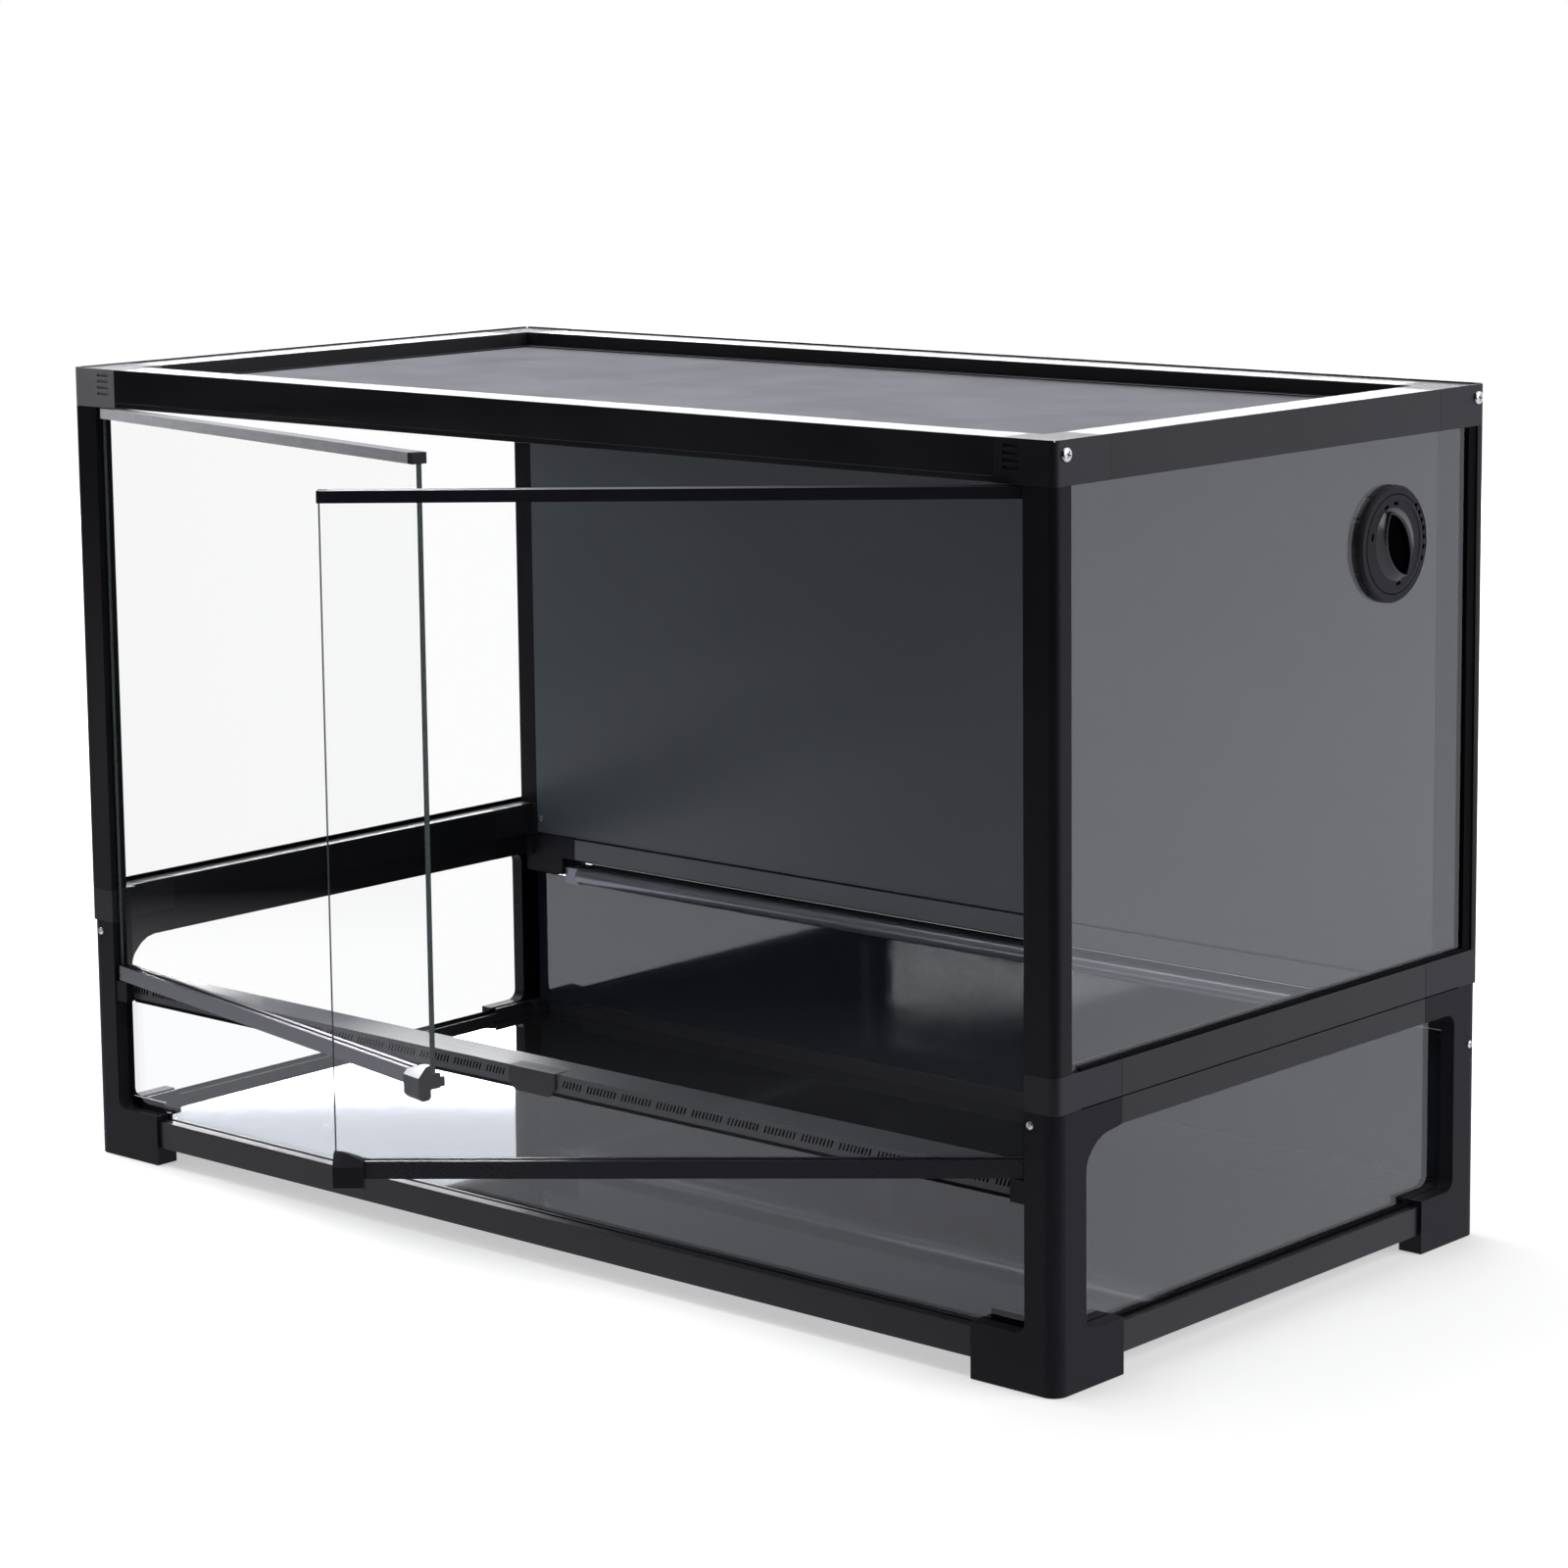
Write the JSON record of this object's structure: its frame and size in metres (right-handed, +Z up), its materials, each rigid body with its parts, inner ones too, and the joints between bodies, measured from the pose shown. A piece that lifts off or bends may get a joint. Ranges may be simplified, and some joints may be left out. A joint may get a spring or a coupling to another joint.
{
  "type": "reptile terrarium",
  "caption": "Low glass tank under a framed clear cabin with front-hinged doors, dark back, recessed screen top and a turning side vent.",
  "frame": {"origin": "centre, on the floor, of the whole footprint with the doors open as pictured; the tank itself is centred on X and stands 136.3 mm behind it", "axes": "+X to the tank's right side, where the vent is; +Y from the doors to the dark back; +Z up"},
  "size_m": [0.9212, 0.7426, 0.59],
  "materials": {
    "moulding_black": "satin black moulding",
    "frame_black": "smooth black coating",
    "clear_glass": "polished, faint green at the edges",
    "dark_panel": "polished charcoal sheet",
    "screen_wire": "fine woven wire, dark coated",
    "seal_rubber": "matt black",
    "screw_steel": "bright zinc"
  },
  "bodies": {
    "tank": {"lower_corner_fl": "moulding_black", "lower_corner_fr": "moulding_black", "lower_corner_rl": "moulding_black", "lower_corner_rr": "moulding_black", "base_rail_front": "frame_black", "base_rail_rear": "frame_black", "base_rail_left": "frame_black", "base_rail_right": "frame_black", "base_panel": "dark_panel", "tank_glass_front": "clear_glass", "tank_glass_left": "clear_glass", "tank_glass_right": "clear_glass", "tank_panel_rear": "dark_panel", "tank_rail_left": "frame_black", "tank_rail_right": "frame_black", "tank_rail_rear": "frame_black", "rear_edge_bar": "frame_black", "glass_gaskets": "seal_rubber", "vent_strip": "frame_black", "door_catch": "moulding_black", "connector_screws": "screw_steel", "mid_corner_fl": "moulding_black", "mid_corner_fr": "moulding_black", "mid_corner_rl": "moulding_black", "mid_corner_rr": "moulding_black", "mid_rail_left": "frame_black", "mid_rail_right": "frame_black", "mid_rail_rear": "frame_black", "post_fl": "frame_black", "post_fr": "frame_black", "post_rl": "frame_black", "post_rr": "frame_black", "top_corner_fl": "moulding_black", "top_corner_fr": "moulding_black", "top_corner_rl": "moulding_black", "top_corner_rr": "moulding_black", "top_rail_front": "frame_black", "top_rail_rear": "frame_black", "top_rail_left": "frame_black", "top_rail_right": "frame_black", "side_pane_left": "clear_glass", "side_pane_right": "clear_glass", "pane_seals": "seal_rubber", "back_panel": "dark_panel", "screen_frame": "frame_black", "screen_mesh": "screen_wire", "vent_flange": "moulding_black", "vent_nut": "moulding_black"},
    "left_door": {"left_door_pane": "clear_glass", "left_door_top_channel": "frame_black", "left_door_bottom_channel": "frame_black", "left_door_pull": "moulding_black", "left_door_pins": "screw_steel"},
    "right_door": {"right_door_pane": "clear_glass", "right_door_top_channel": "frame_black", "right_door_bottom_channel": "frame_black", "right_door_pull": "moulding_black", "right_door_pins": "screw_steel"},
    "dial": {"vent_dial": "moulding_black"}
  },
  "joints": [
    {"name": "left_door_hinge", "type": "hinge", "parent": "tank", "child": "left_door", "pos_m": [-0.425, -0.09215, 0.134], "axis": [0, 0, -1], "range_deg": [-11.2, 78.8]},
    {"name": "right_door_hinge", "type": "hinge", "parent": "tank", "child": "right_door", "pos_m": [0.425, -0.09215, 0.134], "axis": [0, 0, 1], "range_deg": [-39.6, 50.4]},
    {"name": "vent_dial_turn", "type": "hinge", "parent": "tank", "child": "dial", "pos_m": [0.453, 0.26085, 0.492], "axis": [1, 0, 0], "range_deg": [0, 60]}
  ]
}
